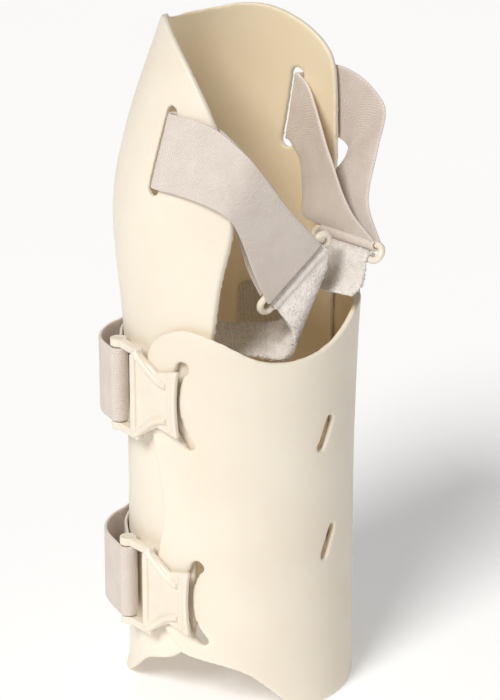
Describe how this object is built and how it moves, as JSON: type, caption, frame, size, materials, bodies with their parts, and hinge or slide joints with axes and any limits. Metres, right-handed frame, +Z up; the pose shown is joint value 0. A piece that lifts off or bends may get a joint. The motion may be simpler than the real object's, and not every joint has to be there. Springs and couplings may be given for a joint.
{
  "type": "two-shell lower-leg brace",
  "caption": "Two-shell moulded lower-leg brace: tall shin shell with knee wings, short calf shell on hook buckles and webbing, ring-ended wing straps with terry bands.",
  "frame": {"origin": "on the leg's axis, in the plane of the two hem lobes that the brace stands on", "axes": "+Z up the leg, +Y to the closed wall of the tall shin shell, -Y to the short calf shell, X across the leg (the wearer's sides are not known)"},
  "size_m": [0.1298, 0.1356, 0.3453],
  "materials": {
    "shell": "satin",
    "buckle": "satin",
    "webbing": "matte",
    "terry": "matte",
    "hook_tape": "matte",
    "rivet_metal": "satin"
  },
  "bodies": {
    "shin_body": {"shin_shell": "shell", "upper_left_tab": "hook_tape", "upper_right_tab": "hook_tape", "upper_strap": "webbing", "upper_rivet": "rivet_metal", "upper_washer": "rivet_metal", "lower_left_tab": "hook_tape", "lower_right_tab": "hook_tape", "lower_strap": "webbing", "lower_rivet": "rivet_metal", "lower_washer": "rivet_metal", "left_wing_strap": "webbing", "left_ring": "buckle", "left_terry_band": "terry", "left_hook_patch": "hook_tape", "right_wing_strap": "webbing", "right_ring": "buckle", "right_terry_band": "terry", "right_hook_patch": "hook_tape"},
    "calf_body": {"calf_shell": "shell"},
    "upper_left_buckle_body": {"upper_left_buckle": "buckle", "upper_left_pin": "buckle"},
    "upper_right_buckle_body": {"upper_right_buckle": "buckle", "upper_right_pin": "buckle"},
    "lower_left_buckle_body": {"lower_left_buckle": "buckle", "lower_left_pin": "buckle"},
    "lower_right_buckle_body": {"lower_right_buckle": "buckle", "lower_right_pin": "buckle"}
  },
  "joints": [
    {"name": "calf_shell_release", "type": "slide", "parent": "shin_body", "child": "calf_body", "axis": [0, -1, 0], "range_m": [0, 0.03]},
    {"name": "upper_left_buckle_hinge", "type": "hinge", "parent": "shin_body", "child": "upper_left_buckle_body", "pos_m": [-0.05624, 0.028, 0.1665], "axis": [0, 0, -1], "range_deg": [0, 120]},
    {"name": "upper_right_buckle_hinge", "type": "hinge", "parent": "shin_body", "child": "upper_right_buckle_body", "pos_m": [0.05624, 0.028, 0.1665], "axis": [0, 0, 1], "range_deg": [0, 120]},
    {"name": "lower_left_buckle_hinge", "type": "hinge", "parent": "shin_body", "child": "lower_left_buckle_body", "pos_m": [-0.05847, 0.022, 0.0635], "axis": [0, 0, -1], "range_deg": [0, 120]},
    {"name": "lower_right_buckle_hinge", "type": "hinge", "parent": "shin_body", "child": "lower_right_buckle_body", "pos_m": [0.05847, 0.022, 0.0635], "axis": [0, 0, 1], "range_deg": [0, 120]}
  ],
  "couplings": [
    {"joint": "upper_left_buckle_hinge", "follows": "calf_shell_release", "rad_per_m": 69.813},
    {"joint": "upper_right_buckle_hinge", "follows": "calf_shell_release", "rad_per_m": 69.813},
    {"joint": "lower_left_buckle_hinge", "follows": "calf_shell_release", "rad_per_m": 69.813},
    {"joint": "lower_right_buckle_hinge", "follows": "calf_shell_release", "rad_per_m": 69.813}
  ]
}
